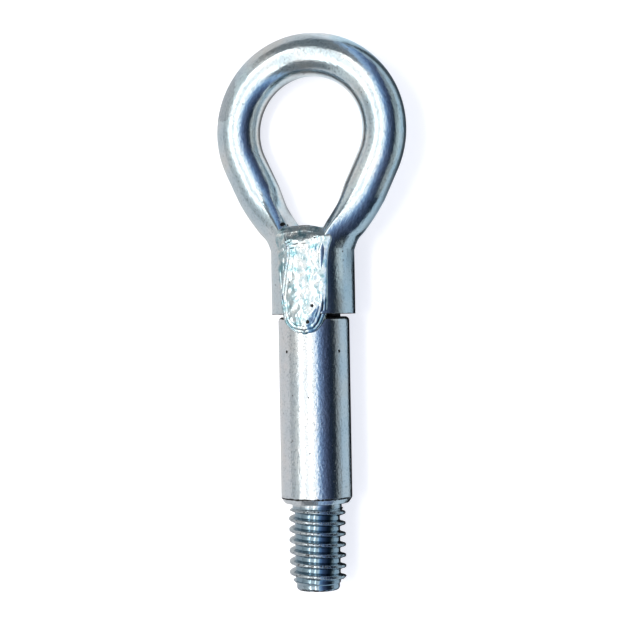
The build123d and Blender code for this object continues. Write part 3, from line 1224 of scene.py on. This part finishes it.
# %% [markdown]
# Two hundred such lines, closer together at both ends, make the bead, and a flat floor inside
# the part closes it. Every point also notes how far it is from the rim, because the ridges
# follow the rim.

# %% Close the bead
bead_floor = 2.0
bead_lines = 200


def bead_mesh(name, side, lips, bevel, stations):
    """A closed bead from its stations, on the front for side 1 and on the rear for side -1."""
    station_heights, *columns = np.array(stations, float).T
    tip, top = station_heights[0], station_heights[-1]
    heights = tip + (top - tip) * (1 - np.cos(np.linspace(0, pi, bead_lines))) / 2
    columns = [ease_through(station_heights, column, heights) for column in columns]
    toes = np.concatenate([np.stack([column, heights], axis=1) for column in columns[:2]])
    points, rims = [], []
    for y, *values in zip(heights, *columns):
        at = dict(zip(bead_columns, values))
        x, z = bead_line(y, at, lips, bevel)
        back = np.linspace(at["right toe"], at["left toe"], points_under + 2)[1:-1]
        points += [(px, y, pz) for px, pz in zip(x, z)]
        points += [(px, y, bead_floor) for px in back]
        rims.append(np.min(np.hypot(x[:, None] - toes[:, 0], y - toes[:, 1]), axis=1))
        # The floor counts as beyond the rim, so that no relief reaches it
        rims.append(np.full(points_under, -1.0))
    mesh = bpy.data.meshes.new(name)
    faces = tube_faces(bead_lines, points_over + points_under)
    mesh.from_pydata((np.array(points) * (side, 1, side)).tolist(), [], faces)
    face_outwards(mesh)
    rim = mesh.attributes.new("rim", "FLOAT", "POINT")
    rim.data.foreach_set("value", np.concatenate(rims))
    print(f"{name}: {tip:.1f} to {top:.1f} mm above the shoulder")
    return mesh


print(f"{bead_lines} lines along a bead")

# %% [markdown]
# The front bead has lips along its left side, where the pool of steel froze in steps, and a
# bevel low on its right. The rear bead lies underneath and is plain and round. Each row is a
# height, and then the values of the bead's columns in their order.

# %% Stations of the two beads
front_stations = [
    (47.6, -0.3, 1.3, 0.5, 11.8, 14, 14, 10.0, 0.3, 0.3, -0.3),
    (47.9, -1.9, 2.7, 0.7, 11.8, 15, 14, 10.0, 0.5, 0.6, -1.9),
    (49.2, -4.1, 4.4, 1.0, 11.85, 16, 14, 10.0, 1.0, 1.3, -4.1),
    (52.0, -5.9, 6.0, 1.3, 11.65, 17.6, 16, 10.0, 1.7, 1.9, -5.9),
    (54.5, -6.3, 6.9, 1.1, 11.68, 17.6, 17, 11.6, 0.25, 1.5, -6.1),
    (60.0, -7.0, 7.1, 0.35, 11.45, 17.6, 19.3, 11.75, 0.15, 1.5, -5.6),
    (65.5, -7.5, 7.1, -0.45, 11.22, 17.6, 21.7, 11.75, 0.15, 1.5, -4.7),
    (70.0, -7.7, 7.4, -1.0, 11.06, 17.6, 23.4, 11.75, 0.15, 1.5, -4.0),
    (72.0, -8.0, 7.8, -1.0, 10.97, 19, 25, 11.75, 0.15, 1.3, -4.3),
    (73.4, -8.2, 8.2, -0.9, 10.72, 22, 28, 11.8, 0.2, 1.2, -4.8),
    (74.7, -8.2, 8.0, -0.7, 10.28, 26, 30, 11.9, 0.3, 1.0, -5.2),
    (75.8, -7.9, 7.1, -0.9, 9.91, 30, 26, 11.6, 0.3, 0.8, -5.5),
    (76.7, -7.0, 5.6, -0.9, 9.57, 32, 24, 11.1, 0.4, 0.5, -5.2),
    (77.3, -4.9, 3.8, -0.6, 9.2, 32, 24, 10.6, 0.4, 0.4, -4.0),
    (77.7, -0.6, 1.5, 0.4, 8.6, 32, 36, 9.8, 0.4, 0.4, -0.4),
]
rear_stations = [
    (44.5, -4.6, 4.6, 0.0, 9.7, 6.0, 6.0, 10.0, 3.0, 3.0, 0.0),
    (48.9, -4.6, 4.6, 0.0, 12.75, 5.8, 5.8, 10.0, 3.0, 3.0, 0.0),
    (53.5, -4.6, 4.6, 0.0, 12.75, 5.8, 5.8, 11.75, 3.0, 3.0, 0.0),
    (71.0, -4.6, 4.6, 0.0, 12.75, 5.8, 5.8, 11.75, 3.0, 3.0, 0.0),
    (77.7, -6.0, 6.0, 0.0, 9.4, 8.4, 8.4, 9.3, 3.0, 3.0, 0.0),
]
front_lips, front_bevel = (0.22, 0.14, 0.14), 0.55
front_base = bead_mesh("front_bead", 1, front_lips, front_bevel, front_stations)
rear_base = bead_mesh("rear_bead", -1, (0.0, 0.0, 0.0), 0.0, rear_stations)

# %% [markdown]
# ## The rule for a bead's surface
# A weld's face has three kinds of relief: ridges that follow the rim, ripples across the bead,
# and the dents of a crumpled skin. Bump could fake them, but they are deep enough to be seen
# from the side, so a second tree moves the points themselves. All its noises take one seed, so
# that two beads differ and each stays the same in every run.

# %% Inputs of the bead's rule
bead_rule = new_rule(
    "bead_surface",
    {
        "Ridge Spacing": "Float",
        "Ridge Height": "Float",
        "Ridge Reach": "Float",
        "Ripple From": "Float",
        "Ripple To": "Float",
        "Ripple Pitch": "Float",
        "Ripple Depth": "Float",
        "Ripple Bow": "Float",
        "Dent Size": "Float",
        "Dent Depth": "Float",
        "Seed": "Float",
        "Finish": "Material",
    },
)
tree, given, _ = bead_rule
spot = add_node(tree, "GeometryNodeInputPosition").outputs["Position"]
part = add_node(tree, "ShaderNodeSeparateXYZ", {"Vector": spot}).outputs
named = add_node(tree, "GeometryNodeInputNamedAttribute", {"Name": "rim"}, data_type="FLOAT")
rim = named.outputs["Attribute"]


def bead_noise(frequency, detail):
    """Noise over the bead, with the rule's own seed."""
    feeds = {"Vector": spot, "W": given["Seed"], "Scale": frequency, "Detail": detail}
    feeds["Roughness"] = 0.5
    return add_node(tree, "ShaderNodeTexNoise", feeds, noise_dimensions="4D").outputs["Fac"]


def folds(value, spacing):
    """Round backs with a sharp valley between them, from 0 in the valleys to 1 on the backs."""
    half_turns = times(tree, reckon(tree, "DIVIDE", value, spacing), pi)
    return reckon(tree, "ABSOLUTE", reckon(tree, "SINE", half_turns))


print(f"{tree.name}: {len(bead_rule[2])} named inputs")

# %% [markdown]
# The ridges are folds in the distance from the rim, with a wandering line so that they aren't
# ruled. They are strongest round the tongue, where the pool was pulled back, and they fade out
# towards the middle of the bead.

# %% Ridges along the rim
tongue_top, tongue_share = (60.0, 54.0), 0.8
smooth_right, left_share = (5.0, 2.0), 0.2

wander = reckon(tree, "SUBTRACT", bead_noise(0.18, 1.0), 0.5)
ridge = folds(reckon(tree, "ADD", rim, wander), given["Ridge Spacing"])
at_tongue = times(tree, fade(tree, part["Y"], *tongue_top), tongue_share)
on_left = fade(tree, part["X"], *smooth_right)
strength = reckon(tree, "MULTIPLY_ADD", on_left, left_share, at_tongue)
half_reach = times(tree, given["Ridge Reach"], 0.5)
near_rim = fade(tree, rim, given["Ridge Reach"], half_reach)
ridge = times(tree, ridge, given["Ridge Height"], strength, near_rim)
print(f"ridges are strongest below {tongue_top[1]:.0f} mm")

# %% [markdown]
# Ripples are the marks of the moving arc: folds across the bead, bowed up in the middle and a
# little wavy. They show only between two heights, and not on the right, where the face is
# smooth.

# %% Ripples across the bead
ripple_ends = 0.8
ripple_right = (3.5, 1.0)
waviness = 3.0

bow = times(tree, part["X"], part["X"], given["Ripple Bow"])
bowed = reckon(tree, "ADD", part["Y"], bow)
waver = reckon(tree, "MULTIPLY_ADD", bead_noise(0.3, 1.0), waviness, bowed)
ripple = reckon(tree, "SUBTRACT", folds(waver, given["Ripple Pitch"]), 1.0)
full_from = reckon(tree, "ADD", given["Ripple From"], ripple_ends)
full_to = reckon(tree, "SUBTRACT", given["Ripple To"], ripple_ends)
rippled = times(
    tree,
    fade(tree, part["Y"], given["Ripple From"], full_from),
    fade(tree, part["Y"], given["Ripple To"], full_to),
    fade(tree, part["X"], *ripple_right),
)
ripple = times(tree, ripple, given["Ripple Depth"], rippled)
print(f"ripples come in over {ripple_ends} mm")

# %% [markdown]
# The dents come from a noise folded at its middle, which gives creases with soft hollows between
# them. They leave the rim and the smooth cap at the top alone. The three reliefs are added up
# and pushed out along the surface's own direction, and at the very rim they stop, so that the
# toes stay in the steel.

# %% Dents, and the push outwards
crease_softness = 0.15
dents_from_rim, relief_from_rim = (0.8, 2.4), (0.0, 0.3)

crumple = bead_noise(reckon(tree, "DIVIDE", 1.0, given["Dent Size"]), 1.2)
crumple = reckon(tree, "SUBTRACT", crumple, 0.5)
crease = reckon(tree, "SMOOTH_MAX", crumple, times(tree, crumple, -1.0), crease_softness)
on_face = times(tree, fade(tree, part["Y"], *cap_starts), fade(tree, rim, *dents_from_rim))
dent = times(tree, crease, given["Dent Depth"], -1.0, on_face)
raised = reckon(tree, "ADD", reckon(tree, "ADD", ridge, ripple), dent)
raised = times(tree, raised, fade(tree, rim, *relief_from_rim))
outward = add_node(tree, "GeometryNodeInputNormal").outputs["Normal"]
feeds = {0: outward, "Scale": raised}
push = add_node(tree, "ShaderNodeVectorMath", feeds, operation="SCALE").outputs["Vector"]
feeds = {"Geometry": given["Geometry"], "Offset": push}
worked = add_node(tree, "GeometryNodeSetPosition", feeds)
end_rule(tree, worked.outputs["Geometry"], given["Finish"])

# %% [markdown]
# The front bead takes ridges, a few ripples near its top and deep dents. The rear bead differs
# in a few values only: ripples all along it, shallow dents and no ridges.

# %% Work the two beads
front_values = {
    "Ridge Spacing": 1.0,
    "Ridge Height": 0.18,
    "Ridge Reach": 2.6,
    "Ripple From": 70.0,
    "Ripple To": 73.8,
    "Ripple Pitch": 1.4,
    "Ripple Depth": 0.11,
    "Ripple Bow": 0.05,
    "Dent Size": 2.3,
    "Dent Depth": 0.7,
    "Seed": 4.0,
    "Finish": weld_finish,
}
rear_values = {
    **front_values,
    "Ridge Height": 0.0,
    "Ripple From": 0.0,
    "Ripple To": 90.0,
    "Ripple Pitch": 1.6,
    "Ripple Depth": 0.16,
    "Dent Depth": 0.3,
    "Seed": 9.0,
}
front_mesh = follow_rule("front_weld", front_base, bead_rule, front_values)
rear_mesh = follow_rule("rear_weld", rear_base, bead_rule, rear_values)
print(f"beads with {len(front_mesh.vertices)} and {len(rear_mesh.vertices)} points")

# %% [markdown]
# Gas that was caught in the weld left two pores in the front face. They are small enough to be
# painted as dark spots, which are painted shade for the inside of each pore. Then both beads are
# laid down with the rest.

# %% Pores, and the beads in place
pore_size = 0.35
pores = [(3.1, 55.3), (1.7, 50.9)]

x, y, _ = mesh_points(front_mesh)
# Painted shade: each pore is a dark spot
pore_shades = [dot(np.hypot(x - px, y - py), pore_size) for px, py in pores]
paint_marks(front_mesh, np.maximum.reduce(pore_shades))
for mesh in (front_mesh, rear_mesh):
    mesh.transform(laid_down)
front = settle_piece("front_bead", front_mesh)
rear = settle_piece("rear_bead", rear_mesh)

# %% [markdown]
# ## Hand the pieces to the frame
# Every piece rides on the part's one body and stands for the solid under it, which is hidden. The
# two boxes are printed, so that a skin that has grown past its solid shows up at once.

# %% Ride and replace
stands_for = {
    eye: ("eye_loop", "plated_steel"),
    stud: ("threaded_stud", "plated_steel"),
    front: ("front_weld", "plated_weld"),
    rear: ("rear_weld", "plated_weld"),
}
for piece, (node, slot) in stands_for.items():
    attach(piece, "root")
    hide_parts(node)

visual_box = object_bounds()
boxes = {"cad": [list(corner) for corner in cad_box], "visual": [list(corner) for corner in visual_box]}
for name, box in boxes.items():
    print(f"{name} box, mm:", [[round(v / millimetre, 2) for v in corner] for corner in box])
